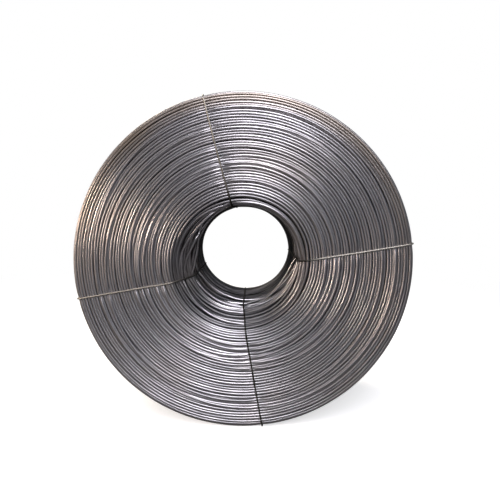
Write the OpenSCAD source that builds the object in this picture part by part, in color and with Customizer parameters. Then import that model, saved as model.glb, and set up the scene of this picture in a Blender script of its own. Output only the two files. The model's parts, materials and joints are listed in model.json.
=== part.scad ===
// Coil of 5.5 mm steel wire rod, wound on a mandrel and held by four tie wires.
// The coil stands on its rim with its axis along Y. Its front end faces -Y, and there the
// innermost turns have slumped into a dish on one side of the bore.
// The origin is where the rim touches the floor, at mid width.

/* [Coil] */
// Outside diameter over the last turns
coil_d = 620; // [520:5:800]
// Diameter of the bore that the mandrel leaves
bore_d = 206; // [160:2:260]
// Width from end to end
coil_w = 270; // [200:5:400]
// Rounding of the two outer edges
edge_r = 12; // [8:1:20]
// Rounding of the bore's two edges
lip_r = 8; // [6:1:12]

/* [Dish] */
// How far the dish reaches out past the bore's wall, where it is widest
dish_reach = 38; // [20:1:60]
// How deep the dish goes into the bore, where it is widest
dish_depth = 65; // [40:1:90]
// Direction in which it is widest, anticlockwise from the right as the front end is seen
dish_angle = 245; // [0:5:355]

/* [Turns] */
// Distance from one turn of rod to the next
turn_pitch = 5.6; // [5:0.1:9]
// Width of the V between two turns
groove_w = 3.2; // [1.6:0.1:4.6]
// Depth of the V between two turns
groove_depth = 1.6; // [0.8:0.1:2.3]

/* [Ties] */
// Diameter of the tie wire
tie_d = 3; // [2:0.1:4.5]
// Gap between a tie and the turns that it beds into
tie_gap = 0.2; // [0.1:0.05:0.4]
// How far a tie lies below the crests of the turns
tie_sink = 0.2; // [0:0.05:0.6]
// Length of a tie's twisted ends, which lie along the back end
twist_length = 24; // [16:1:40]
// Distance of the twisted ends from the outer rim
twist_inset = 50; // [25:1:80]
// Direction of the top tie's middle, anticlockwise from the right as the front end is seen
tie_top_angle = 103; // [80:1:120]
// Lean of the top tie away from a straight line to the axis
tie_top_lean = 1.5; // [-10:0.5:10]
// Direction of the left tie's middle
tie_left_angle = 196; // [170:1:215]
// Lean of the left tie
tie_left_lean = -6; // [-10:0.5:10]
// Direction of the bottom tie's middle
tie_bottom_angle = 275; // [255:1:300]
// Lean of the bottom tie
tie_bottom_lean = 5; // [-10:0.5:10]
// Direction of the right tie's middle
tie_right_angle = 3; // [-20:1:30]
// Lean of the right tie
tie_right_lean = 6; // [-10:0.5:10]

/* [Hidden] */
$fn = 96;

coil_r = coil_d / 2;
bore_r = bore_d / 2;
mid_r = (coil_r + bore_r) / 2;
arc_steps = 6;

// The dish is a cone whose axis is moved sideways until its far side clears the bore's wall.
dish_offset = (dish_reach + 2) / 2;
dish_centre = dish_offset * [cos(dish_angle), sin(dish_angle)];
dish_r = bore_r + dish_reach - dish_offset;
dish_slope = dish_reach / dish_depth;
least_flare = 4;

channel_depth = tie_sink + tie_d + tie_gap;
channel_w = tie_d + 2 * tie_gap;
tie_line = tie_sink + tie_d / 2;
// Bends are a hair thicker than the straights and reach a little past them.
bend_d = tie_d + 0.04;
bend_reach = 1;
twist_d = 1.8 * tie_d;
root_d = 1.1 * tie_d;
root_slope = 35;
twist_line = -(twist_d / 2 + tie_gap);
ties = [
    [tie_top_angle, tie_top_lean],
    [tie_left_angle, tie_left_lean],
    [tie_bottom_angle, tie_bottom_lean],
    [tie_right_angle, tie_right_lean]
];

// Where the line of a tie crosses a circle round centre. A tie's line passes the radius mid_r in
// the tie's direction, and places on it are counted so that mid_r is mid_r.
function crossing(tie, centre, r) =
    let (
        p = mid_r * [cos(tie[0]), sin(tie[0])] - centre,
        b = p * [cos(tie[0] + tie[1]), sin(tie[0] + tie[1])]
    )
        mid_r - b + sqrt(b * b - p * p + r * r);

// Corners of the winding's section, as [distance from the axis, distance from the back end],
// anticlockwise from the back outer edge.
coil_section = [[coil_r, 0], [coil_r, coil_w], [bore_r, coil_w], [bore_r, 0]];
coil_rounding = [edge_r, edge_r, lip_r, lip_r];
// Whether turns show on the stretch that starts at each corner: rim, front, bore, back.
coil_grooved = [true, true, false, true];

// The same in the plane of a tie, where the dish slopes from the front end to the bore's wall.
function tie_section(tie) =
    let (
        rim = crossing(tie, [0, 0], coil_r),
        wall = crossing(tie, [0, 0], bore_r),
        flare = max(least_flare, crossing(tie, dish_centre, dish_r) - wall)
    ) [
        [rim, 0],
        [rim, coil_w],
        [wall + flare, coil_w],
        [wall, coil_w - flare / dish_slope],
        [wall, 0]
    ];
tie_rounding = [edge_r, edge_r, lip_r, lip_r, lip_r];

function after(p, i) = (i + 1) % len(p);
function before(p, i) = (i + len(p) - 1) % len(p);
function unit(v) = v / norm(v);
function inward(u) = [-u[1], u[0]];
function heading(p, i) = unit(p[after(p, i)] - p[i]);
function turn_angle(p, i) = acos(heading(p, before(p, i)) * heading(p, i));

// The corners of p, with each stretch moved inwards by t.
function inset(p, t) = [
    for (i = [0:len(p) - 1])
        let (a = inward(heading(p, before(p, i))), b = inward(heading(p, i)))
            p[i] + t * (a + b) / (1 + a * b)
];

// The arc of radius r that rounds corner i of p: its start, end, centre and first angle.
function arc_start(p, i, r) = p[i] - heading(p, before(p, i)) * r * tan(turn_angle(p, i) / 2);
function arc_end(p, i, r) = p[i] + heading(p, i) * r * tan(turn_angle(p, i) / 2);
function arc_centre(p, i, r) = arc_start(p, i, r) + r * inward(heading(p, before(p, i)));
function arc_first(p, i) = let (u = heading(p, before(p, i))) atan2(-u[0], u[1]);

function arc_points(p, i, r) = [
    for (k = [0:arc_steps])
        let (a = arc_first(p, i) + turn_angle(p, i) * k / arc_steps)
            arc_centre(p, i, r) + r * [cos(a), sin(a)]
];

// The V grooves along a straight stretch from a to b, one between each two turns.
function groove_points(a, b) =
    let (
        u = unit(b - a),
        n = floor((norm(b - a) - groove_w) / turn_pitch),
        first = (norm(b - a) - n * turn_pitch) / 2
    ) [
        for (k = [0:n])
            let (mid = a + u * (first + k * turn_pitch))
                each [
                    mid - u * groove_w / 2,
                    mid + inward(u) * groove_depth,
                    mid + u * groove_w / 2
                ]
    ];

function rounded(p, r) = [for (i = [0:len(p) - 1]) each arc_points(p, i, r[i])];

function wound(p, r, grooved) = [
    for (i = [0:len(p) - 1])
        let (j = after(p, i))
            each concat(
                arc_points(p, i, r[i]),
                grooved[i] ? groove_points(arc_end(p, i, r[i]), arc_start(p, j, r[j])) : []
            )
];

// Puts a shape drawn round the Z axis, back end at z = 0, into the coil's standing place.
module stand() {
    translate([0, coil_w / 2, coil_r])
        rotate([90, 0, 0])
            children();
}

// Puts a shape drawn in a tie's plane where that tie is.
module tie_plane(tie) {
    rotate([0, 0, tie[0]])
        translate([mid_r, 0, 0])
            rotate([90, 0, tie[1]])
                translate([-mid_r, 0, 0])
                    children();
}

// The bed of one tie, all round the section.
module tie_channel(tie) {
    past = 2 * lip_r;
    tie_plane(tie)
        translate([0, 0, -channel_w / 2])
            linear_extrude(channel_w)
                difference() {
                    translate([bore_r - past, -past])
                        square([coil_r - bore_r + 2 * past, coil_w + 2 * past]);
                    polygon(rounded(
                        inset(tie_section(tie), channel_depth),
                        [for (r = tie_rounding) r - channel_depth]
                    ));
                }
}

// The space that the slumped turns leave open.
module dish() {
    past = 10;
    translate([dish_centre[0], dish_centre[1], coil_w - dish_depth - past])
        cylinder(
            h = dish_depth + 2 * past,
            r1 = dish_r - (dish_depth + past) * dish_slope,
            r2 = dish_r + past * dish_slope
        );
}

module wire_rod_coil() {
    color([0.40, 0.40, 0.42])
        stand()
            difference() {
                rotate_extrude()
                    polygon(wound(coil_section, coil_rounding, coil_grooved));
                dish();
                for (tie = ties)
                    tie_channel(tie);
            }
}

// A straight length of wire from a to b in the section's plane.
module straight(a, b, d) {
    translate(a)
        rotate([0, 0, atan2(b[1] - a[1], b[0] - a[0])])
            rotate([0, 90, 0])
                cylinder(h = norm(b - a), d = d);
}

// The bend of a tie round corner i of its line p.
module bend(p, i, r) {
    translate(arc_centre(p, i, r))
        rotate([0, 0, arc_first(p, i) - bend_reach])
            rotate_extrude(angle = turn_angle(p, i) + 2 * bend_reach)
                translate([r, 0])
                    circle(d = bend_d);
}

// The two ends of a tie, twisted together and bent down flat on the back end.
module twisted_ends() {
    root = [coil_r - twist_inset, tie_line];
    drop = tie_line - twist_line;
    foot = [root[0] - drop / tan(root_slope), twist_line];
    straight(root, foot, root_d);
    straight(foot + [root_d, 0], foot - [twist_length, 0], twist_d);
}

module tie_wire(tie) {
    line = inset(tie_section(tie), tie_line);
    radius = [for (r = tie_rounding) r - tie_line];
    color([0.33, 0.32, 0.30])
        stand()
            tie_plane(tie) {
                for (i = [0:len(line) - 1]) {
                    j = after(line, i);
                    bend(line, i, radius[i]);
                    straight(arc_end(line, i, radius[i]), arc_start(line, j, radius[j]), tie_d);
                }
                twisted_ends();
            }
}

wire_rod_coil();
tie_wire(ties[0]);  // tie_wire_top
tie_wire(ties[1]);  // tie_wire_left
tie_wire(ties[2]);  // tie_wire_bottom
tie_wire(ties[3]);  // tie_wire_right
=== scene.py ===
"""Looks of a coil of wire rod that stands on its rim, with its four tie wires.

The coil's axis lies along Y and its front end faces -Y. Places in the coil are given by the
angle round the axis, anticlockwise from +X as the front end is seen, the distance from the
axis, and the distance from the back end.
"""

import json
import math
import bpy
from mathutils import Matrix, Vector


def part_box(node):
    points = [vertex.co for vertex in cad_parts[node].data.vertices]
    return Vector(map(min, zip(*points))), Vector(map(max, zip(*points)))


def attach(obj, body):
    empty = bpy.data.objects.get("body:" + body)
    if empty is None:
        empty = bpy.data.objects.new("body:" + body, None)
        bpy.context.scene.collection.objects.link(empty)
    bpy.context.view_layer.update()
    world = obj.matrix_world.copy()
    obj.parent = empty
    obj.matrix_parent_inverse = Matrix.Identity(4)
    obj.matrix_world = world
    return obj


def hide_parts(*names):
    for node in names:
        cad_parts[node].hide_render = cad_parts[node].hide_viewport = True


bl_info = {
    "name": "Wire Rod Coil",
    "version": (1, 0, 0),
    "blender": (4, 5, 0),
    "location": "View3D > Sidebar > Wire Rod Coil",
    "description": "Builds the turns, the tie wires and the stage of a coil of wire rod",
    "category": "Add Mesh",
}

import bpy
import numpy as np
from bpy.props import (
    FloatProperty,
    FloatVectorProperty,
    IntProperty,
    PointerProperty,
)
from mathutils import Vector

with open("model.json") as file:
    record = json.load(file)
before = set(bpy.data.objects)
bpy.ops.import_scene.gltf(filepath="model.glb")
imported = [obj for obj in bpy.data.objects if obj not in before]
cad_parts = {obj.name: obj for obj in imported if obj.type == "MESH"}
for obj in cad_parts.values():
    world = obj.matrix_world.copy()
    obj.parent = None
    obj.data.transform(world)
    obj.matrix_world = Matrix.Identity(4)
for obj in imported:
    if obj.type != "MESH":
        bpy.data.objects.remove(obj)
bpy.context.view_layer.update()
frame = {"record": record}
COIL_LOW, COIL_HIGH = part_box("wire_rod_coil")
MOUNTS = {mount["name"]: mount for mount in frame["record"]["mounts"]}

COIL_RADIUS = (COIL_HIGH.z - COIL_LOW.z) / 2
COIL_WIDTH = COIL_HIGH.y - COIL_LOW.y
BORE_RADIUS = MOUNTS["bore"]["dims"]["r_mm"] / 1000
AXIS_HEIGHT = (COIL_HIGH.z + COIL_LOW.z) / 2
BACK_Y = COIL_HIGH.y
TIES = ("tie_wire_top", "tie_wire_left", "tie_wire_bottom", "tie_wire_right")


# SETTINGS


def length(name, description, default):
    return FloatProperty(
        name=name, description=description, default=default, subtype="DISTANCE", unit="LENGTH"
    )


def angle(name, description, degrees):
    return FloatProperty(
        name=name, description=description, default=math.radians(degrees), subtype="ANGLE", unit="ROTATION"
    )


def share(name, description, default):
    return FloatProperty(name=name, description=description, default=default, min=0, max=1, subtype="FACTOR")


def power(name, description, watts):
    return FloatProperty(name=name, description=description, default=watts, subtype="POWER", unit="POWER")


def colour(name, description, default):
    return FloatVectorProperty(
        name=name, description=description, default=default, subtype="COLOR", size=3, min=0, max=1
    )


class WireRodCoilSizes(bpy.types.PropertyGroup):
    """Sizes of the wound rod"""

    rod: length("Rod diameter", "Diameter of the rod that is wound", 0.0052)
    layer_step: length("Layer step", "Distance from layer to layer on the two ends", 0.0050)
    dish_step: length("Dish step", "Distance from turn to turn down the dish", 0.0074)
    wall_step: length("Wall step", "Distance from turn to turn on the bore's wall", 0.0061)
    rim_step: length("Rim step", "Distance from turn to turn on the rim", 0.00555)
    nest: length("Nest", "How much deeper every second layer ends", 0.0006)
    rim_nest: length("Rim nest", "How much deeper every second turn lies on the rim", 0.0004)
    dish_nest: length("Dish nest", "How much deeper every second turn lies in the dish", 0.0024)
    wall_nest: length("Wall nest", "How deep the turns between the proud ones lie in the bore", 0.0055)
    edge_radius: length("Edge rounding", "Rounding of the two outer edges", 0.012)
    lip_radius: length("Lip rounding", "Rounding of the bore's two edges", 0.008)
    dish_reach: length("Dish reach", "How far the dish reaches past the bore's wall", 0.038)
    dish_depth: length("Dish depth", "How deep the dish goes into the bore", 0.065)
    dish_angle: angle("Dish direction", "Direction in which the dish is widest", 245)
    ripple: length("Ripple", "How far a turn rises and sinks over a short way", 0.0004)
    stray: length("Stray", "How far a turn wanders sideways over a long way", 0.0010)
    swell: length("Swell", "How far neighbouring turns sink together", 0.0004)
    wave: length("Wave length", "Distance over which a turn rises and sinks", 0.070)
    sag: share("Sag", "Share of its height that the coil has sunk", 0.010)
    spread: share("Spread", "Share by which it has grown wider", 0.0036)
    bore_sag: length("Bore sag", "How far the bore is pressed in from above and below", 0.004)
    crossings: IntProperty(name="Crossing turns", description="Turns that lie across the others", default=14)
    seed: IntProperty(name="Seed", description="Seed of the turns' unevenness", default=4)


class WireRodTieSizes(bpy.types.PropertyGroup):
    """Sizes and places of the tie wires"""

    wire: length("Tie diameter", "Diameter of the tie wire", 0.003)
    proud: length("Tie standing", "How far a tie stands above the crests of the turns", 0.0024)
    bed: length("Bed width", "Width over which turns sink under a tie", 0.010)
    twist_length: length("Twist length", "Length of the twisted ends", 0.024)
    twist_inset: length("Twist inset", "Distance of the twisted ends from the rim", 0.050)
    top: angle("Top tie", "Direction of the top tie's middle", 103)
    top_lean: angle("Top lean", "Lean of the top tie away from a line to the axis", 1.5)
    left: angle("Left tie", "Direction of the left tie's middle", 196)
    left_lean: angle("Left lean", "Lean of the left tie", -6)
    bottom: angle("Bottom tie", "Direction of the bottom tie's middle", 275)
    bottom_lean: angle("Bottom lean", "Lean of the bottom tie", 5)
    right: angle("Right tie", "Direction of the right tie's middle", 3)
    right_lean: angle("Right lean", "Lean of the right tie", 6)


class WireRodColours(bpy.types.PropertyGroup):
    """Colours of the steel"""

    bright: colour("Bright steel", "Rod where it is drawn bright", (0.44, 0.43, 0.45))
    # The dark steel is also the colour of the painted shade on the deep turns of the dish and the bore.
    dark: colour("Dark steel", "Rod where its scale is left", (0.06, 0.06, 0.065))
    # The warm steel is also the colour of the painted warm reflection at the top of the front end.
    warm: colour("Warm steel", "Rod where it is faintly rusted", (0.36, 0.30, 0.24))
    tie: colour("Tie wire", "Soft tie wire", (0.20, 0.19, 0.17))
    floor: colour("Floor", "Studio floor", (0.90, 0.90, 0.90))


class WireRodStage(bpy.types.PropertyGroup):
    """Light and view"""

    overhead: power("Overhead light", "Power of the light above the camera", 36)
    side: power("Side light", "Power of the narrow warm light at the left", 16)
    back: power("Back light", "Power of the light behind the coil", 20)
    fill: share("Fill", "Strength of the surrounding light in front", 0.225)
    rear_fill: share("Rear fill", "Strength of the surrounding light behind", 0.15)
    glow: share("Floor glow", "How much paler the floor looks than it is lit", 0.6)
    lens: FloatProperty(
        name="Lens", description="Focal length", default=30.0, subtype="DISTANCE_CAMERA", unit="CAMERA"
    )


# SECTION OF THE WINDING

# Corners of the section, in the order in which section_corners gives them.
BACK_RIM, FRONT_RIM, DISH_EDGE, DISH_FOOT, BACK_LIP = range(5)
RIM = (BACK_RIM, FRONT_RIM)
FRONT = (FRONT_RIM, BACK_LIP)
BACK = (BACK_LIP, BACK_RIM)
ARC_STEPS = 8
MIDDLE_RADIUS = (COIL_RADIUS + BORE_RADIUS) / 2


def circle_angles(segments):
    return np.linspace(0, 2 * math.pi, segments, endpoint=False)


def dish_flare(sizes, angles):
    """How far the dish reaches past the bore's wall on the front end, at each angle."""
    least, blend, inside_wall = 0.004, 0.006, 0.002
    offset = (sizes.dish_reach + inside_wall) / 2
    radius = BORE_RADIUS + sizes.dish_reach - offset
    turn = np.asarray(angles) - sizes.dish_angle
    reach = offset * np.cos(turn) + np.sqrt(radius**2 - (offset * np.sin(turn)) ** 2) - BORE_RADIUS
    return (reach + least + np.sqrt((reach - least) ** 2 + blend**2)) / 2


def section_corners(sizes, angles):
    """Corners of the section at each angle, as (distance from the axis, distance from the back end)."""
    flare = dish_flare(sizes, angles)
    drop = flare * sizes.dish_depth / sizes.dish_reach
    outer = np.full_like(flare, COIL_RADIUS)
    inner = np.full_like(flare, BORE_RADIUS)
    back = np.zeros_like(flare)
    front = np.full_like(flare, COIL_WIDTH)
    pairs = ((outer, back), (outer, front), (inner + flare, front), (inner, front - drop), (inner, back))
    return np.stack([np.stack(pair, axis=-1) for pair in pairs], axis=1)


def unit(vectors):
    return vectors / np.linalg.norm(vectors, axis=-1, keepdims=True)


def section_arcs(sizes, corners, inset):
    """The rounded corners of sections moved inwards by inset: points and outward normals."""
    radii = np.array([sizes.edge_radius] * 2 + [sizes.lip_radius] * 3) - inset
    radii = np.maximum(radii, 0.001)
    ahead = unit(np.roll(corners, -1, axis=1) - corners)
    behind = np.roll(ahead, 1, axis=1)
    in_ahead = np.stack((-ahead[..., 1], ahead[..., 0]), axis=-1)
    in_behind = np.roll(in_ahead, 1, axis=1)
    cos_turn = np.sum(ahead * behind, axis=-1, keepdims=True)
    spread = 1 + np.sum(in_ahead * in_behind, axis=-1, keepdims=True)
    corners = corners + inset * (in_ahead + in_behind) / spread
    turn = np.arccos(np.clip(cos_turn, -1, 1))
    tangent = radii[None, :, None] * np.tan(turn / 2)
    centre = corners - behind * tangent + in_behind * radii[None, :, None]
    step = np.linspace(0, 1, ARC_STEPS + 1)[None, None, :]
    first = np.arctan2(-behind[..., 0:1], behind[..., 1:2])
    sweep = first + turn * step
    normals = np.stack((np.cos(sweep), np.sin(sweep)), axis=-1)
    return centre[:, :, None, :] + normals * radii[None, :, None, None], normals


def section_run(sizes, angles, inset, run):
    """The stretch of section from the middle of one corner to the middle of another, at each angle."""
    points, normals = section_arcs(sizes, section_corners(sizes, angles), inset)
    middle = ARC_STEPS // 2
    order = [run[0]]
    while order[-1] != run[1]:
        order.append((order[-1] + 1) % 5)
    pieces = [slice(middle, None)] + [slice(None)] * (len(order) - 2) + [slice(None, middle + 1)]
    return (
        np.concatenate([points[:, i, part] for i, part in zip(order, pieces)], axis=1),
        np.concatenate([normals[:, i, part] for i, part in zip(order, pieces)], axis=1),
    )


def along_run(points, normals, shares):
    """Points and normals at given shares of the run's length; shares has one row for each angle."""
    steps = np.linalg.norm(np.diff(points, axis=1), axis=-1)
    reach = np.concatenate((np.zeros((len(points), 1)), np.cumsum(steps, axis=1)), axis=1)
    place = np.empty(shares.shape + (2,))
    normal = np.empty(shares.shape + (2,))
    for i in range(len(points)):
        at = shares[i] * reach[i, -1]
        for axis in range(2):
            place[i, :, axis] = np.interp(at, reach[i], points[i, :, axis])
            normal[i, :, axis] = np.interp(at, reach[i], normals[i, :, axis])
    return place, unit(normal)


def turns_in(sizes, run, part, step):
    """How many turns lie side by side on a part of a run, on average round the coil."""
    points, _ = section_run(sizes, circle_angles(64), sizes.rod / 2, run)
    reach = np.linalg.norm(np.diff(points, axis=1), axis=-1).sum(axis=1).mean()
    return round(part * reach / step)


def to_world(sizes, around, distance, depth):
    """Points at angles round the axis, distances from it and distances from the back end.

    The coil has sagged a little on the floor, and its bore is slightly flattened.
    """
    inner = np.clip((COIL_RADIUS - distance) / (COIL_RADIUS - BORE_RADIUS), 0, 1) ** 2
    distance = distance - sizes.bore_sag * inner * np.sin(around) ** 2
    across = distance * np.cos(around) * (1 + sizes.spread)
    height = (AXIS_HEIGHT + distance * np.sin(around)) * (1 - sizes.sag)
    return np.stack((across, BACK_Y - depth, height), axis=-1)


def to_world_direction(angles, direction):
    """Directions in the section, at each angle, as directions in the coil."""
    around = np.asarray(angles)[:, None]
    return np.stack(
        (direction[..., 0] * np.cos(around), -direction[..., 1], direction[..., 0] * np.sin(around)),
        axis=-1,
    )


def tie_lines(ties):
    """Direction and lean of each tie, in the order of TIES."""
    return (
        (ties.top, ties.top_lean),
        (ties.left, ties.left_lean),
        (ties.bottom, ties.bottom_lean),
        (ties.right, ties.right_lean),
    )


def tie_bed(ties, angles, distance):
    """How near each place is to a tie: 1 under it, falling to 0 beside it."""
    bed = np.zeros_like(distance)
    for at, lean in tie_lines(ties):
        turned = np.asarray(angles)[:, None] - at - lean
        along = distance * np.cos(turned) - MIDDLE_RADIUS * math.cos(lean)
        across = distance * np.sin(turned) + MIDDLE_RADIUS * math.sin(lean)
        near_side = along > -MIDDLE_RADIUS
        bed = np.maximum(bed, np.exp(-((across / ties.bed) ** 2)) * near_side)
    return bed


# TURNS OF ROD


def even_shares(segments, start, end, turns):
    """Turns laid evenly along a run, the same at every angle."""
    return np.tile(start + (end - start) * (np.arange(turns) + 0.5) / turns, (segments, 1))


def crossing_shares(start, end, turns, drift, seed):
    """Turns that drift across their neighbours on the way round."""
    random = np.random.default_rng(seed)
    around = circle_angles(FRONT_SEGMENTS)[:, None]
    base = random.uniform(start + drift, end - drift, turns)
    size = random.uniform(0.5, 1.0, turns) * drift
    first, second = random.uniform(0, 2 * math.pi, (2, turns))
    return base + size * (0.7 * np.sin(around + first) + 0.3 * np.sin(2 * around + second))


def nested(turns, step, seed):
    """How much deeper each turn lies: every second one by about a step."""
    random = np.random.default_rng(seed)
    return step * ((np.arange(turns) % 2) * 0.8 + random.uniform(-0.1, 0.3, turns))


def uneven_pile(turns, proud, deep, seed):
    """Depths of turns that have loosened: every fourth or so stands proud, the others lie deeper."""
    random = np.random.default_rng(seed)
    depth = deep * random.uniform(0.45, 1.0, turns)
    at = 0
    while at < turns:
        depth[at] = 0.1 * deep * random.uniform(0, 1)
        at += int(random.choice(proud))
    return depth


# Turns under a tie lie this far clear of it.
TIE_GAP = 0.0001


class Turns:
    """Centre lines of closed turns on a run of the section, with what the rod tree reads from them.

    Shares places the turns along the run and has one row for each angle. Recess is how deep they
    lie, and inset how deep the run itself lies. First is the number of the first turn: a turn's
    waves follow from its number, so each layer counts from another one. Tones is the range of how
    much of their scale the turns keep; the dark tones of deep turns are painted shade and the bright
    tones of the sprung turns a painted highlight. The rust value is how rusty they are and, at the
    top of the front end, also a painted warm reflection.
    """

    def __init__(self, sizes, ties, run, shares, recess, inset=None, first=0, rust=0.0, tones=(0.0, 0.35)):
        segments, self.turns = shares.shape
        self.angles = circle_angles(segments)
        inset = sizes.rod / 2 if inset is None else inset
        place, normal = along_run(*section_run(sizes, self.angles, inset, run), shares)
        recess = np.broadcast_to(recess, shares.shape)
        bed = tie_bed(ties, self.angles, place[..., 0])
        seat = np.maximum(recess, ties.wire - ties.proud + TIE_GAP)
        recess = recess + (seat - recess) * bed
        place = place - normal * recess[..., None]
        side = np.stack((-normal[..., 1], normal[..., 0]), axis=-1)
        self.points = to_world(sizes, self.angles[:, None], place[..., 0], place[..., 1])
        self.outward = to_world_direction(self.angles, normal)
        self.sideways = to_world_direction(self.angles, side)
        self.play = 1 - bed
        self.turn = np.broadcast_to(np.arange(first, first + self.turns), shares.shape)
        random = np.random.default_rng(first + sizes.seed)
        self.tone = np.broadcast_to(random.uniform(*tones, self.turns), shares.shape)
        self.rust = np.broadcast_to(rust, shares.shape)
        self.along = self.angles[:, None] * place[..., 0].mean(axis=0)


def dishness(sizes, shares):
    """How deep in the dish each place is: 1 on its slope, 0 on the end and on the bore's wall."""
    angles = circle_angles(len(shares))
    place, _ = along_run(*section_run(sizes, angles, sizes.rod / 2, FRONT), shares)
    end_blend, wall_blend = 0.012, 0.008
    below = np.clip((COIL_WIDTH - place[..., 1] - sizes.rod) / end_blend, 0, 1)
    clear = np.clip((place[..., 0] - BORE_RADIUS - 0.8 * sizes.rod) / wall_blend, 0, 1)
    return below * clear


def keep_on_points(mesh, values):
    """Keeps a number or a vector on each point of a mesh, by name."""
    for name, rows in values.items():
        kind, field = ("FLOAT", "value") if rows.ndim == 1 else ("FLOAT_VECTOR", "vector")
        layer = mesh.attributes.new(name, kind, "POINT")
        layer.data.foreach_set(field, rows.ravel().astype(np.float32))


def turns_mesh(name, *groups):
    """One mesh of the centre lines of several groups of turns."""
    mesh = bpy.data.meshes.new(name)
    edges, start = [], 0
    for group in groups:
        count = len(group.angles) * group.turns
        index = start + np.arange(count).reshape(group.turns, -1)
        edges.append(np.stack((index, np.roll(index, -1, axis=1)), axis=-1).reshape(-1, 2))
        start += count

    def gather(attribute):
        values = [np.moveaxis(getattr(group, attribute), 1, 0) for group in groups]
        return np.concatenate([value.reshape(-1, *value.shape[2:]) for value in values])

    mesh.from_pydata(gather("points").tolist(), np.concatenate(edges).tolist(), [])
    kept = ("outward", "sideways", "play", "turn", "along", "tone", "rust")
    keep_on_points(mesh, {attribute: gather(attribute) for attribute in kept})
    return mesh


def link(tree, source, target):
    tree.links.new(source, target)


def feed(tree, value, target):
    """Links an output to a socket, or sets the socket to a number or a colour."""
    if isinstance(value, (int, float, tuple)):
        target.default_value = value
    else:
        link(tree, value, target)


def math_node(tree, operation, *values):
    node = tree.nodes.new("ShaderNodeMath")
    node.operation = operation
    for value, target in zip(values, node.inputs):
        feed(tree, value, target)
    return node.outputs[0]


def remap(tree, value, low, high, to_low, to_high, kind="LINEAR"):
    """Moves a value from one range to another, and holds it within that."""
    node = tree.nodes.new("ShaderNodeMapRange")
    node.interpolation_type = kind
    link(tree, value, node.inputs["Value"])
    ends = {"From Min": low, "From Max": high, "To Min": to_low, "To Max": to_high}
    for name, end in ends.items():
        node.inputs[name].default_value = end
    return node.outputs["Result"]


def mix_colours(tree, factor, first, second):
    node = tree.nodes.new("ShaderNodeMix")
    node.data_type = "RGBA"
    for name, value in {"Factor": factor, "A": first, "B": second}.items():
        feed(tree, value, node.inputs[name])
    return node.outputs["Result"]


def mix_shaders(tree, factor, first, second):
    node = tree.nodes.new("ShaderNodeMixShader")
    for value, target in zip((factor, first, second), node.inputs):
        link(tree, value, target)
    return node.outputs[0]


def vector_scale(tree, vector, scale):
    node = tree.nodes.new("ShaderNodeVectorMath")
    node.operation = "SCALE"
    link(tree, vector, node.inputs[0])
    feed(tree, scale, node.inputs["Scale"])
    return node.outputs[0]


def vector_add(tree, first, second):
    node = tree.nodes.new("ShaderNodeVectorMath")
    link(tree, first, node.inputs[0])
    link(tree, second, node.inputs[1])
    return node.outputs[0]


def named_input(tree, kind, name):
    node = tree.nodes.new("GeometryNodeInputNamedAttribute")
    node.data_type = kind
    node.inputs["Name"].default_value = name
    return node.outputs[0]


def uneven(tree, position, wave, turn_step, turn, seed):
    """Noise along a turn: three values of about -1 to 1."""
    noise = tree.nodes.new("ShaderNodeTexNoise")
    noise.noise_dimensions = "4D"
    noise.inputs["Scale"].default_value = 1.0
    noise.inputs["Detail"].default_value = 1.0
    link(tree, vector_scale(tree, position, math_node(tree, "DIVIDE", 1.0, wave)), noise.inputs["Vector"])
    link(tree, math_node(tree, "MULTIPLY_ADD", turn, turn_step, seed), noise.inputs["W"])
    split = tree.nodes.new("ShaderNodeSeparateXYZ")
    link(tree, noise.outputs["Color"], split.inputs[0])
    return [
        math_node(tree, "MULTIPLY", math_node(tree, "SUBTRACT", out, 0.5), 3.2) for out in split.outputs
    ]


ROD_INPUTS = {
    "Geometry": "NodeSocketGeometry",
    "Rod Diameter": "NodeSocketFloat",
    "Sides": "NodeSocketInt",
    "Ripple": "NodeSocketFloat",
    "Stray": "NodeSocketFloat",
    "Swell": "NodeSocketFloat",
    "Wave Length": "NodeSocketFloat",
    "Seed": "NodeSocketInt",
    "Material": "NodeSocketMaterial",
}


def add_sockets(tree, side, sockets):
    for name, kind in sockets.items():
        tree.interface.new_socket(name, in_out=side, socket_type=kind)


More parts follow.
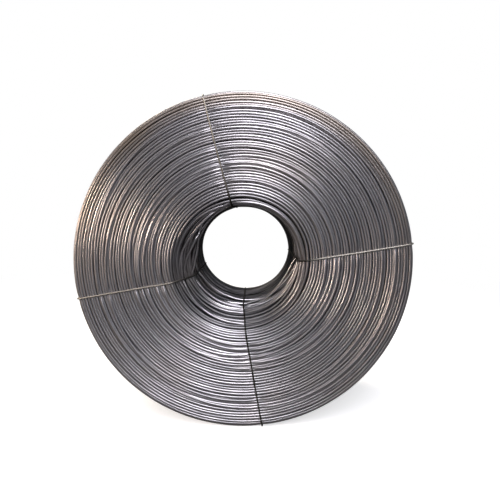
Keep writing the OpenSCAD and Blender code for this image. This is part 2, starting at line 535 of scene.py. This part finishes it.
def rod_tree():
    """Turns centre lines into uneven turns of round rod."""
    tree = bpy.data.node_groups.new("Wound Rod", "GeometryNodeTree")
    add_sockets(tree, "INPUT", ROD_INPUTS)
    add_sockets(tree, "OUTPUT", {"Geometry": "NodeSocketGeometry"})
    entry = tree.nodes.new("NodeGroupInput").outputs
    turn = named_input(tree, "FLOAT", "turn")
    position = tree.nodes.new("GeometryNodeInputPosition").outputs[0]

    def waves(factor, turn_step):
        wave = math_node(tree, "MULTIPLY", entry["Wave Length"], factor)
        return uneven(tree, position, wave, turn_step, turn, entry["Seed"])

    # Each turn has short and long waves of its own, and shares the third kind with its neighbours.
    short, long, shared = waves(1.0, 3.7), waves(4.0, 5.3), waves(2.5, 0.12)
    rise = math_node(tree, "MULTIPLY", short[0], entry["Ripple"])
    sink = math_node(tree, "MULTIPLY", math_node(tree, "MINIMUM", shared[1], 0.0), entry["Swell"])
    sway = math_node(tree, "MULTIPLY", short[2], entry["Ripple"])
    aside = math_node(tree, "MULTIPLY_ADD", long[1], entry["Stray"], sway)
    play = named_input(tree, "FLOAT", "play")
    lift = math_node(tree, "MULTIPLY", math_node(tree, "ADD", rise, sink), play)
    shift = vector_add(
        tree,
        vector_scale(tree, named_input(tree, "FLOAT_VECTOR", "outward"), lift),
        vector_scale(tree, named_input(tree, "FLOAT_VECTOR", "sideways"), aside),
    )
    move = tree.nodes.new("GeometryNodeSetPosition")
    link(tree, entry["Geometry"], move.inputs["Geometry"])
    link(tree, shift, move.inputs["Offset"])

    line = tree.nodes.new("GeometryNodeMeshToCurve")
    link(tree, move.outputs[0], line.inputs["Mesh"])
    ring = tree.nodes.new("GeometryNodeCurvePrimitiveCircle")
    link(tree, entry["Sides"], ring.inputs["Resolution"])
    link(tree, math_node(tree, "MULTIPLY", entry["Rod Diameter"], 0.5), ring.inputs["Radius"])
    factor = tree.nodes.new("GeometryNodeSplineParameter").outputs["Factor"]
    sweep = tree.nodes.new("GeometryNodeCurveToMesh")
    link(tree, line.outputs[0], sweep.inputs["Curve"])
    link(tree, store_number(tree, ring.outputs["Curve"], "around", factor), sweep.inputs["Profile Curve"])
    sweep.inputs["Fill Caps"].default_value = True
    smooth = tree.nodes.new("GeometryNodeSetShadeSmooth")
    link(tree, sweep.outputs[0], smooth.inputs["Geometry"])
    realize = tree.nodes.new("GeometryNodeRealizeInstances")
    link(tree, smooth.outputs[0], realize.inputs[0])
    paint = tree.nodes.new("GeometryNodeSetMaterial")
    link(tree, realize.outputs[0], paint.inputs["Geometry"])
    link(tree, entry["Material"], paint.inputs["Material"])
    leave = tree.nodes.new("NodeGroupOutput")
    link(tree, paint.outputs[0], leave.inputs[0])
    return tree


def store_number(tree, geometry, name, value):
    """Keeps a value on every point of a geometry."""
    node = tree.nodes.new("GeometryNodeStoreNamedAttribute")
    node.data_type = "FLOAT"
    node.domain = "POINT"
    node.inputs["Name"].default_value = name
    link(tree, geometry, node.inputs["Geometry"])
    link(tree, value, node.inputs["Value"])
    return node.outputs[0]


def sweep_rod(name, paths, inputs):
    """Runs the rod tree on centre lines, with its inputs by name, and returns a plain mesh."""
    tree = bpy.data.node_groups.get("Wound Rod") or rod_tree()
    carrier = bpy.data.objects.new(name + "_paths", paths)
    bpy.context.scene.collection.objects.link(carrier)
    modifier = carrier.modifiers.new("Wound Rod", "NODES")
    modifier.node_group = tree
    sockets = {item.name: item.identifier for item in tree.interface.items_tree if item.in_out == "INPUT"}
    for socket, value in inputs.items():
        modifier[sockets[socket]] = value
    carrier.update_tag()
    graph = bpy.context.evaluated_depsgraph_get()
    graph.update()
    mesh = bpy.data.meshes.new_from_object(carrier.evaluated_get(graph), depsgraph=graph)
    mesh.name = name
    carrier.modifiers.clear()
    bpy.data.objects.remove(carrier)
    bpy.data.meshes.remove(paths)
    return mesh


def make_piece(name, mesh, node):
    """A finished mesh as a piece that rides with the coil and stands for a CAD node."""
    piece = bpy.data.objects.new(name, mesh)
    bpy.context.scene.collection.objects.link(piece)
    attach(piece, "root")
    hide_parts(node)


def make_turns(context, name, groups, sides=8, looseness=1.0):
    """A piece of the coil from groups of turns; looseness scales how far they stray."""
    sizes = context.scene.wire_rod_coil
    inputs = {
        "Rod Diameter": sizes.rod,
        "Sides": sides,
        "Ripple": looseness * sizes.ripple,
        "Stray": looseness * sizes.stray,
        "Swell": looseness * sizes.swell,
        "Wave Length": sizes.wave,
        "Seed": sizes.seed,
        "Material": rod_steel(),
    }
    make_piece(name, sweep_rod(name, turns_mesh(name, *groups), inputs), "wire_rod_coil")


# MATERIALS


# Roughness of clean drawn steel, how much rougher scale makes it, and the soft tie wire's.
CLEAN_ROUGHNESS, SCALE_ROUGHNESS, TIE_ROUGHNESS = 0.30, 0.26, 0.55
# Noise scales: patches of scale, patches of rust, and the fine lines' grain along and round the rod.
PATCH_SCALE, RUST_SCALE, GRAIN_ALONG, GRAIN_AROUND = 16.0, 7.0, 12.0, 26.0
# How far apart in the noise turns of different tones lie.
TONE_SHIFT = 37.0


FINISH_INPUTS = {
    "Bright": "NodeSocketColor",
    "Dark": "NodeSocketColor",
    "Warm": "NodeSocketColor",
    "Base Roughness": "NodeSocketFloat",
}
FINISH_OUTPUTS = {"Color": "NodeSocketColor", "Roughness": "NodeSocketFloat", "Height": "NodeSocketFloat"}


def drawn_finish_and_shade_group():
    """Finish of drawn rod: how much scale each turn keeps, which for the deep turns is painted shade, its
    rust with a painted warm reflection, and the fine lines along it.
    """
    name = "Drawn Finish"
    if name in bpy.data.node_groups:
        return bpy.data.node_groups[name]
    group = bpy.data.node_groups.new(name, "ShaderNodeTree")
    add_sockets(group, "INPUT", FINISH_INPUTS)
    add_sockets(group, "OUTPUT", FINISH_OUTPUTS)
    nodes = group.nodes
    entry = nodes.new("NodeGroupInput").outputs

    def attribute(attribute_name):
        node = nodes.new("ShaderNodeAttribute")
        node.attribute_name = attribute_name
        return node.outputs["Fac"]

    tone = attribute("tone")
    where = nodes.new("ShaderNodeTexCoord").outputs["Object"]

    def noise(vector, scale, detail, w=None):
        node = nodes.new("ShaderNodeTexNoise")
        node.inputs["Scale"].default_value = scale
        node.inputs["Detail"].default_value = detail
        if w is not None:
            node.noise_dimensions = "4D"
            link(group, w, node.inputs["W"])
        link(group, vector, node.inputs["Vector"])
        return node.outputs["Fac"]

    shift = math_node(group, "MULTIPLY", tone, TONE_SHIFT)
    patch = noise(where, PATCH_SCALE, 2.0, shift)
    scale_patches = remap(group, patch, 0.35, 0.65, 0.0, 0.3)
    # How much scale a turn keeps; the dark tones of the deep turns make this painted shade, and the bright
    # tones of the sprung turns a painted highlight.
    scale = math_node(group, "ADD", scale_patches, remap(group, tone, 0.0, 1.0, -0.1, 0.9))
    steel = mix_colours(group, scale, entry["Bright"], entry["Dark"])
    rust_patches = remap(group, noise(where, RUST_SCALE, 3.0), 0.50, 0.72, 0.0, 0.25)
    rust = math_node(group, "ADD", rust_patches, attribute("rust"))
    finish_and_shade = mix_colours(group, rust, steel, entry["Warm"])

    lines = nodes.new("ShaderNodeCombineXYZ")
    link(group, math_node(group, "MULTIPLY", attribute("along"), GRAIN_ALONG), lines.inputs[0])
    link(group, math_node(group, "MULTIPLY", attribute("around"), GRAIN_AROUND), lines.inputs[1])
    link(group, shift, lines.inputs[2])
    fine = noise(lines.outputs[0], 1.0, 2.0)
    rough_patches = remap(group, patch, 0.3, 0.7, -0.06, 0.06)
    rough_lines = remap(group, fine, 0.3, 0.7, -0.04, 0.04)
    matt = math_node(group, "MULTIPLY_ADD", tone, SCALE_ROUGHNESS, entry["Base Roughness"])
    rough = math_node(group, "ADD", matt, math_node(group, "ADD", rough_patches, rough_lines))
    leave = nodes.new("NodeGroupOutput")
    link(group, finish_and_shade, leave.inputs["Color"])
    link(group, rough, leave.inputs["Roughness"])
    link(group, fine, leave.inputs["Height"])
    return group


def steel_material(name, bright, dark, warm, rough):
    """Drawn steel whose tone follows each turn; the dark tones of the deep turns are painted shade."""
    if name in bpy.data.materials:
        return bpy.data.materials[name]
    material = bpy.data.materials.new(name)
    material.use_nodes = True
    tree = material.node_tree
    shader = tree.nodes["Principled BSDF"]
    shader.inputs["Metallic"].default_value = 1.0
    finish_and_shade = tree.nodes.new("ShaderNodeGroup")
    finish_and_shade.node_tree = drawn_finish_and_shade_group()
    for socket, value in (("Bright", bright), ("Dark", dark), ("Warm", warm)):
        finish_and_shade.inputs[socket].default_value = (*value, 1.0)
    finish_and_shade.inputs["Base Roughness"].default_value = rough
    relief = tree.nodes.new("ShaderNodeBump")
    relief.inputs["Strength"].default_value = 0.6
    relief.inputs["Distance"].default_value = 0.00006
    link(tree, finish_and_shade.outputs["Color"], shader.inputs["Base Color"])
    link(tree, finish_and_shade.outputs["Roughness"], shader.inputs["Roughness"])
    link(tree, finish_and_shade.outputs["Height"], relief.inputs["Height"])
    link(tree, relief.outputs["Normal"], shader.inputs["Normal"])
    return material


def rod_steel():
    colours = bpy.context.scene.wire_rod_colours
    return steel_material("rod_steel", colours.bright, colours.dark, colours.warm, CLEAN_ROUGHNESS)


def tie_steel():
    """Soft wire with a painted highlight in some places and painted shade in others."""
    tie = bpy.context.scene.wire_rod_colours.tie
    # A painted highlight and a painted shade: a bright and a black copy of the tie colour.
    bright = [2.2 * part for part in tie]
    dark = [0.15 * part for part in tie]
    return steel_material("tie_steel", bright, dark, tie, TIE_ROUGHNESS)


# Colour with which the floor lights the coil. It is darker than the floor looks.
FLOOR_BOUNCE = (0.15, 0.15, 0.15, 1.0)
# Distances from the coil over which the floor fades into the backdrop.
FADE_START, FADE_END = 0.3, 2.2


def floor_paint(glow):
    """Pale floor that looks a little paler than it is lit, and fades into the white backdrop."""
    material = bpy.data.materials.new("floor_paint")
    material.use_nodes = True
    tree = material.node_tree
    shader = tree.nodes["Principled BSDF"]
    path = tree.nodes.new("ShaderNodeLightPath")
    by_camera = path.outputs["Is Camera Ray"]
    looks = (*bpy.context.scene.wire_rod_colours.floor, 1.0)
    link(tree, mix_colours(tree, by_camera, FLOOR_BOUNCE, looks), shader.inputs["Base Color"])
    shader.inputs["Roughness"].default_value = 0.9
    lit = tree.nodes.new("ShaderNodeEmission")
    white = tree.nodes.new("ShaderNodeEmission")
    link(tree, math_node(tree, "MULTIPLY", by_camera, glow), lit.inputs["Strength"])
    add = tree.nodes.new("ShaderNodeAddShader")
    link(tree, shader.outputs[0], add.inputs[0])
    link(tree, lit.outputs[0], add.inputs[1])
    away = tree.nodes.new("ShaderNodeVectorMath")
    away.operation = "LENGTH"
    link(tree, tree.nodes.new("ShaderNodeTexCoord").outputs["Object"], away.inputs[0])
    far = remap(tree, away.outputs["Value"], FADE_START, FADE_END, 0.0, 1.0, "SMOOTHSTEP")
    faded = math_node(tree, "MULTIPLY", far, by_camera)
    fade = mix_shaders(tree, faded, add.outputs[0], white.outputs[0])
    link(tree, fade, tree.nodes["Material Output"].inputs["Surface"])
    return material


# OPERATORS


# Points round a turn: on the front end, in the bore, on the rim and back end, and under them all.
FRONT_SEGMENTS, BORE_SEGMENTS, OUTER_SEGMENTS, INNER_SEGMENTS = 256, 176, 216, 120

# Where the flat end stops and where the dish stops, as shares of the front run.
FACE_SHARE = 0.40
DISH_SHARE = 0.565

# Where the crossing turns start on the front run, how far they drift, and how high they ride in rods.
CROSSING_START, CROSSING_DRIFT, CROSSING_RIDE = 0.01, 0.02, 0.3

# The sprung turns, mostly at the upper left: place as a share of the front run, middle and half
# width in degrees, height in millimetres.
SPRUNG_TURNS = (
    (0.45, 150, 34, 11),
    (0.475, 163, 28, 15),
    (0.50, 142, 38, 10),
    (0.52, 172, 30, 17),
    (0.55, 156, 40, 12),
    (0.56, 318, 34, 9),
    (0.62, 330, 40, 8),
    (0.53, 240, 50, 3),
    (0.60, 300, 50, 3),
    (0.69, 230, 50, 3),
)
# How deep they lie where they haven't sprung.
SPRUNG_BED = 0.0045

# How strongly the front end's first turns are painted warm at the top, as faint rust and a painted
# warm reflection of the light from above on the rounded edge: full up to one turn, none from
# another on.
RUST_AND_SHEEN_TURNS, TOP_RUST_AND_SHEEN, RIM_RUST = (1, 6), 0.55, 0.2

# The layer under the outermost one: turns, run, depth in rods and number of the first turn.
INNER_LAYERS = ((78, FRONT, 2.3, 600), (46, RIM, 1.6, 700), (38, BACK, 1.6, 800))


class COIL_OT_front_turns(bpy.types.Operator):
    """Lay the ends of the layers that show on the front end, and a few turns across them"""

    bl_idname = "coil.front_turns"
    bl_label = "Front Turns"

    def execute(self, context):
        sizes, ties = context.scene.wire_rod_coil, context.scene.wire_rod_ties
        segments = FRONT_SEGMENTS
        turns = turns_in(sizes, FRONT, FACE_SHARE, sizes.layer_step)
        shares = even_shares(segments, 0.0, FACE_SHARE, turns)
        rust = np.interp(np.arange(turns), RUST_AND_SHEEN_TURNS, (TOP_RUST_AND_SHEEN, 0.0))
        # Stronger towards the top: a painted warm reflection where the rounded edge faces the light.
        rust = rust * np.clip(0.3 + np.sin(circle_angles(segments)), 0, 1)[:, None]
        laid = Turns(sizes, ties, FRONT, shares, nested(turns, sizes.nest, 1), rust=rust)
        make_turns(context, "front_turns", [laid])
        shares = crossing_shares(CROSSING_START, DISH_SHARE, sizes.crossings, CROSSING_DRIFT, sizes.seed)
        over = Turns(sizes, ties, FRONT, shares, -CROSSING_RIDE * sizes.rod, first=500)
        make_turns(context, "crossing_turns", [over])
        return {"FINISHED"}


class COIL_OT_bore_turns(bpy.types.Operator):
    """Lay the turns of the dish and of the bore's wall, and the sprung ones over them"""

    bl_idname = "coil.bore_turns"
    bl_label = "Bore Turns"

    def execute(self, context):
        sizes, ties = context.scene.wire_rod_coil, context.scene.wire_rod_ties
        groups = [layer(sizes, ties, BORE_SEGMENTS) for layer in (dish_turns, wall_turns, sprung_turns)]
        make_turns(context, "bore_turns", groups, looseness=2.2)
        return {"FINISHED"}


def dish_turns(sizes, ties, segments):
    """The collapsed innermost turns, which step down the dish."""
    turns = turns_in(sizes, FRONT, DISH_SHARE - FACE_SHARE, sizes.dish_step)
    shares = even_shares(segments, FACE_SHARE, DISH_SHARE, turns)
    step = sizes.nest + (sizes.dish_nest - sizes.nest) * dishness(sizes, shares)
    # Dark tones: painted shade down the dish.
    return Turns(sizes, ties, FRONT, shares, nested(turns, 1.0, 2) * step, first=40, tones=(0.55, 0.95))


def wall_turns(sizes, ties, segments):
    """Turns of the bore's wall, uneven but for the last ones at the back end."""
    turns = turns_in(sizes, FRONT, 1.0 - DISH_SHARE, sizes.wall_step)
    depth = uneven_pile(turns, (3, 4, 5), sizes.wall_nest, 3)
    depth *= np.interp(np.arange(turns), (turns - 6, turns - 3), (1.0, 0.05))
    shares = even_shares(segments, DISH_SHARE, 1.0, turns)
    # The darkest tones: painted shade on the bore's wall.
    return Turns(sizes, ties, FRONT, shares, depth, first=60, tones=(0.8, 1.0))


def sprung_turns(sizes, ties, segments):
    """Innermost turns that have sprung off the dish and the bore's wall."""
    places, middles, widths, heights = np.array(SPRUNG_TURNS).T
    around = circle_angles(segments)[:, None]
    off = (around - np.radians(middles) + math.pi) % (2 * math.pi) - math.pi
    sprung = np.exp(-((off / np.radians(widths)) ** 2))
    recess = SPRUNG_BED - (SPRUNG_BED + heights / 1000) * sprung
    # Bright tones: a painted highlight on the sprung turns.
    return Turns(sizes, ties, FRONT, np.tile(places, (segments, 1)), recess, first=120, tones=(0.0, 0.2))


class COIL_OT_rim_turns(bpy.types.Operator):
    """Lay the last turns, which show on the rim"""

    bl_idname = "coil.rim_turns"
    bl_label = "Rim Turns"

    def execute(self, context):
        sizes, ties = context.scene.wire_rod_coil, context.scene.wire_rod_ties
        turns = turns_in(sizes, RIM, 1.0, sizes.rim_step)
        shares = even_shares(OUTER_SEGMENTS, 0, 1, turns)
        depth = nested(turns, sizes.rim_nest, 5)
        laid = Turns(sizes, ties, RIM, shares, depth, first=200, rust=RIM_RUST)
        make_turns(context, "rim_turns", [laid], looseness=0.7)
        return {"FINISHED"}


class COIL_OT_back_turns(bpy.types.Operator):
    """Lay the ends of the layers that show on the back end"""

    bl_idname = "coil.back_turns"
    bl_label = "Back Turns"

    def execute(self, context):
        sizes, ties = context.scene.wire_rod_coil, context.scene.wire_rod_ties
        turns = turns_in(sizes, BACK, 1.0, sizes.layer_step)
        shares = even_shares(OUTER_SEGMENTS, 0, 1, turns)
        laid = Turns(sizes, ties, BACK, shares, nested(turns, sizes.nest, 6), first=300)
        make_turns(context, "back_turns", [laid])
        return {"FINISHED"}


class COIL_OT_inner_turns(bpy.types.Operator):
    """Lay the turns just under the outermost ones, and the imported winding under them"""

    bl_idname = "coil.inner_turns"
    bl_label = "Inner Turns"

    def execute(self, context):
        sizes, ties = context.scene.wire_rod_coil, context.scene.wire_rod_ties
        groups = []
        for turns, run, rods, first in INNER_LAYERS:
            shares = even_shares(INNER_SEGMENTS, 0, 1, turns)
            inset = sizes.rod * rods
            # Dark tones: painted shade between the outer turns.
            groups.append(Turns(sizes, ties, run, shares, 0.0, inset, first, tones=(0.7, 1.0)))
        make_turns(context, "inner_turns", groups, sides=5, looseness=0.0)
        make_piece("packed_winding", packed_winding(sizes), "wire_rod_coil")
        return {"FINISHED"}


def packed_winding(sizes):
    """A closed skin three rods below the surface, so that no light passes between turns."""
    segments, inset = 128, 3.0 * sizes.rod
    around = circle_angles(segments)
    points, _ = section_arcs(sizes, section_corners(sizes, around), inset)
    place = points[:, :, ::2].reshape(segments, -1, 2)
    rows = place.shape[1]
    index = np.arange(segments * rows).reshape(segments, rows)
    after, up = np.roll(index, -1, axis=0), np.roll(index, -1, axis=1)
    corner = np.roll(after, -1, axis=1)
    faces = np.stack((index, up, corner, after), axis=-1).reshape(-1, 4)
    world = to_world(sizes, around[:, None], place[..., 0], place[..., 1])
    mesh = bpy.data.meshes.new("packed_winding")
    mesh.from_pydata(world.reshape(-1, 3).tolist(), [], faces.tolist())
    mesh.polygons.foreach_set("use_smooth", [True] * len(mesh.polygons))
    mesh.materials.append(rod_steel())
    return mesh


def tie_crossing(lean, radius):
    """Where a tie's line crosses a circle round the axis, counted so that the middle radius is itself."""
    ahead, aside = MIDDLE_RADIUS * math.cos(lean), MIDDLE_RADIUS * math.sin(lean)
    return MIDDLE_RADIUS - ahead + math.sqrt(radius**2 - aside**2)


def heading(angle):
    """The direction at an angle round the axis."""
    return np.array([math.cos(angle), math.sin(angle)])


def tie_spot(at, lean, along):
    """The place on a tie's line at a distance along it, counted so that the middle radius is itself."""
    return MIDDLE_RADIUS * heading(at) + (along - MIDDLE_RADIUS) * heading(at + lean)


def tie_loop(sizes, ties, at, lean, inset):
    """The rounded section in a tie's plane, moved inwards by inset, a little clear of the back lip."""
    rim, wall = tie_crossing(lean, COIL_RADIUS), tie_crossing(lean, BORE_RADIUS)
    inner = tie_spot(at, lean, wall)
    corners = section_corners(sizes, np.array([math.atan2(inner[1], inner[0])]))
    corners[0, :, 0] += np.array([rim - COIL_RADIUS] * 2 + [wall - BORE_RADIUS] * 3)
    corners[0, BACK_LIP, 0] += 0.8 * ties.proud
    points, _ = section_arcs(sizes, corners, inset)
    return points[0].reshape(-1, 2)


# The twisted ends: how often the two wires wind round each other, the points along them, how far
# each lies from the twist's middle in wire diameters, and the slope at which they leave the loop.
TWISTS, TWIST_POINTS, TWIST_SPREAD = 5, 60, 0.45
TWIST_SLOPE = math.radians(35)
# How far the twist's middle lies outside the back end: diameters of wire, and a gap on top.
TWIST_LIFT, TWIST_GAP = 0.9, 0.0002
# Half the distance between the places where the two wires leave the loop.
LEAVING = 0.004


def tie_path(sizes, ties, at, lean):
    """Centre line of a tie in its plane: twisted end, once round the section, twisted end.

    Columns are the place along the tie's line, the place across it and the distance from the back end.
    """
    inset = ties.wire / 2 - ties.proud
    loop = tie_loop(sizes, ties, at, lean, inset)
    root = COIL_RADIUS - ties.twist_inset
    middle = -TWIST_LIFT * ties.wire - TWIST_GAP
    foot = root - (inset - middle) / math.tan(TWIST_SLOPE)
    steps = np.linspace(0, 1, TWIST_POINTS)
    spread = TWIST_SPREAD * ties.wire

    def end(phase):
        twist = 2 * math.pi * TWISTS * steps + phase
        columns = (
            foot - ties.twist_length * steps,
            spread * np.sin(twist),
            middle + spread * np.cos(twist),
        )
        return np.stack(columns, axis=-1)

    flat = np.stack((loop[:, 0], np.zeros(len(loop)), loop[:, 1]), axis=-1)
    first, last = ([[root + side, 0.0, inset]] for side in (LEAVING, -LEAVING))
    return np.concatenate((end(0.0)[::-1], first, flat, last, end(math.pi)))


def resample(points, step):
    """Points at even steps along a bent line."""
    gaps = np.linalg.norm(np.diff(points, axis=0), axis=1)
    reach = np.concatenate(([0.0], np.cumsum(gaps)))
    at = np.linspace(0, reach[-1], int(reach[-1] / step))
    return np.stack([np.interp(at, reach, points[:, axis]) for axis in range(3)], axis=-1)


# How dark each tie is painted, in the order of TIES: in the bore, beside it and at the rim. The ties
# that cross the overhead light get a painted highlight, the bottom one painted shade all along, and
# all get painted shade in the bore.
TIE_LIGHT_AND_SHADE_PLACES = (BORE_RADIUS + 0.01, BORE_RADIUS + 0.04, COIL_RADIUS)
TIE_PAINTED_LIGHT_AND_SHADE = ((1.0, 0.7, 0.1), (1.0, 0.2, 0.0), (1.0, 0.9, 0.9), (1.0, 0.1, 0.0))
TIE_STEP = 0.0016
TIE_RIPPLE = 0.0006


def tie_mesh(name, sizes, ties, at, lean, number):
    """The centre line of a tie as a mesh, with what the rod tree reads."""
    line = resample(tie_path(sizes, ties, at, lean), TIE_STEP)
    across = heading(at + lean + math.pi / 2)
    flat = tie_spot(at, lean, line[:, 0:1]) + line[:, 1:2] * across
    around = np.arctan2(flat[:, 1], flat[:, 0])
    world = to_world(sizes, around, np.hypot(flat[:, 0], flat[:, 1]), line[:, 2])
    count = len(world)
    mesh = bpy.data.meshes.new(name)
    mesh.from_pydata(world.tolist(), [(i, i + 1) for i in range(count - 1)], [])
    sideways = np.tile((across[0], 0.0, across[1]), (count, 1))
    values = {
        "outward": sideways,
        "sideways": sideways,
        "play": np.ones(count),
        "turn": np.full(count, number),
        "along": TIE_STEP * np.arange(count),
        # Painted light and shade along the tie.
        "tone": np.interp(line[:, 0], TIE_LIGHT_AND_SHADE_PLACES, TIE_PAINTED_LIGHT_AND_SHADE[number]),
        "rust": np.zeros(count),
    }
    keep_on_points(mesh, values)
    return mesh


class COIL_OT_tie_wires(bpy.types.Operator):
    """Bend the tie wires round the section and twist their ends"""

    bl_idname = "coil.tie_wires"
    bl_label = "Tie Wires"

    def execute(self, context):
        sizes, ties = context.scene.wire_rod_coil, context.scene.wire_rod_ties
        inputs = {
            "Rod Diameter": ties.wire,
            "Sides": 8,
            "Ripple": TIE_RIPPLE,
            "Stray": 0.0,
            "Swell": 0.0,
            "Wave Length": sizes.wave,
            "Seed": sizes.seed,
            "Material": tie_steel(),
        }
        for number, (node, (at, lean)) in enumerate(zip(TIES, tie_lines(ties))):
            name = node + "_bent"
            paths = tie_mesh(name, sizes, ties, at, lean, number)
            make_piece(name, sweep_rod(name, paths, inputs), node)
        return {"FINISHED"}


# STAGE

# Half the length of the floor's sides.
FLOOR_REACH = 20.0

# Each light: its place, its width and height, and its colour.
LIGHTS = {
    "overhead": ((0.16, -1.3, 1.45), 0.8, 1.6, (0.98, 0.95, 1.0)),
    "side": ((-1.5, -0.9, 0.60), 0.10, 0.5, (1.0, 0.80, 0.64)),
    "back": ((-0.9, 1.2, 1.6), 0.8, 0.8, (1.0, 0.88, 0.72)),
}
SURROUND = (0.86, 0.92, 1.0, 1.0)
BACKDROP = (1.0, 1.0, 1.0, 1.0)
# How far towards the back a direction points where the surrounding light is the rear fill.
FULLY_BEHIND = 0.7

# The camera's place beside the axis, in front of the front end and above the axis.
CAMERA_ASIDE, CAMERA_AHEAD, CAMERA_ABOVE = 0.0217, 0.753, 0.0774
CAMERA_TURN = math.radians(0.6)
CAMERA_SHIFT = -0.0717
SENSOR_WIDTH = 36


def lay_floor(scene, glow):
    mesh = bpy.data.meshes.new("floor")
    corners = [(x * FLOOR_REACH, y * FLOOR_REACH, 0.0) for x, y in ((-1, -1), (1, -1), (1, 1), (-1, 1))]
    mesh.from_pydata(corners, [], [(0, 1, 2, 3)])
    mesh.materials.append(floor_paint(glow))
    floor = bpy.data.objects.new("floor", mesh)
    scene.collection.objects.link(floor)


def hang_light(scene, name, watts):
    """An area light that points at the middle of the coil."""
    place, width, height, tint = LIGHTS[name]
    light = bpy.data.lights.new(name + "_light", "AREA")
    light.shape = "RECTANGLE"
    light.size, light.size_y = width, height
    light.energy = watts
    light.color = tint
    lamp = bpy.data.objects.new(name + "_light", light)
    lamp.location = place
    toward = Vector((0.0, 0.0, AXIS_HEIGHT)) - Vector(place)
    lamp.rotation_euler = toward.to_track_quat("-Z", "Y").to_euler()
    scene.collection.objects.link(lamp)


def surround(scene, fill, rear_fill):
    """Pale light from all round, weaker from behind, with a white backdrop for the camera."""
    world = bpy.data.worlds.new("studio")
    scene.world = world
    world.use_nodes = True
    tree = world.node_tree
    light = tree.nodes["Background"]
    light.inputs["Color"].default_value = SURROUND
    toward = tree.nodes.new("ShaderNodeSeparateXYZ")
    link(tree, tree.nodes.new("ShaderNodeTexCoord").outputs["Generated"], toward.inputs[0])
    strength = remap(tree, toward.outputs["Y"], 0.0, FULLY_BEHIND, fill, rear_fill)
    link(tree, strength, light.inputs["Strength"])
    backdrop = tree.nodes.new("ShaderNodeBackground")
    backdrop.inputs["Color"].default_value = BACKDROP
    path = tree.nodes.new("ShaderNodeLightPath")
    choice = mix_shaders(tree, path.outputs["Is Camera Ray"], light.outputs[0], backdrop.outputs[0])
    link(tree, choice, tree.nodes["World Output"].inputs["Surface"])


def place_camera(scene, lens):
    camera = bpy.data.cameras.new("camera")
    camera.lens = lens
    camera.sensor_width = SENSOR_WIDTH
    camera.shift_y = CAMERA_SHIFT
    viewer = bpy.data.objects.new("camera", camera)
    viewer.location = (CAMERA_ASIDE, -COIL_WIDTH / 2 - CAMERA_AHEAD, AXIS_HEIGHT + CAMERA_ABOVE)
    viewer.rotation_euler = (math.radians(90), 0.0, CAMERA_TURN)
    scene.collection.objects.link(viewer)
    scene.camera = viewer


class COIL_OT_stage(bpy.types.Operator):
    """Set up the floor, the light and the camera"""

    bl_idname = "coil.stage"
    bl_label = "Stage"

    def execute(self, context):
        scene, stage = context.scene, context.scene.wire_rod_stage
        lay_floor(scene, stage.glow)
        for name in LIGHTS:
            hang_light(scene, name, getattr(stage, name))
        surround(scene, stage.fill, stage.rear_fill)
        place_camera(scene, stage.lens)
        scene.view_settings.view_transform = "Standard"
        return {"FINISHED"}


# PANEL AND REGISTRATION


class COIL_PT_panel(bpy.types.Panel):
    """Lists the pieces of the coil"""

    bl_label = "Wire Rod Coil"
    bl_idname = "COIL_PT_panel"
    bl_space_type = "VIEW_3D"
    bl_region_type = "UI"
    bl_category = "Wire Rod Coil"

    def draw(self, context):
        for operator in OPERATORS:
            self.layout.operator(operator.bl_idname)
        for settings in SETTINGS:
            group = getattr(context.scene, settings)
            box = self.layout.box()
            for name in group.__annotations__:
                box.prop(group, name)


OPERATORS = (
    COIL_OT_front_turns,
    COIL_OT_bore_turns,
    COIL_OT_rim_turns,
    COIL_OT_back_turns,
    COIL_OT_inner_turns,
    COIL_OT_tie_wires,
    COIL_OT_stage,
)
SETTINGS = {
    "wire_rod_coil": WireRodCoilSizes,
    "wire_rod_ties": WireRodTieSizes,
    "wire_rod_colours": WireRodColours,
    "wire_rod_stage": WireRodStage,
}


def register():
    for cls in (*SETTINGS.values(), *OPERATORS, COIL_PT_panel):
        bpy.utils.register_class(cls)
    for name, settings in SETTINGS.items():
        setattr(bpy.types.Scene, name, PointerProperty(type=settings))


def unregister():
    for name in SETTINGS:
        delattr(bpy.types.Scene, name)
    for cls in (COIL_PT_panel, *reversed(OPERATORS), *reversed(SETTINGS.values())):
        bpy.utils.unregister_class(cls)


def main():
    register()
    bpy.ops.coil.front_turns()
    bpy.ops.coil.bore_turns()
    bpy.ops.coil.rim_turns()
    bpy.ops.coil.back_turns()
    bpy.ops.coil.inner_turns()
    bpy.ops.coil.tie_wires()
    bpy.ops.coil.stage()


if __name__ == "__main__":
    main()
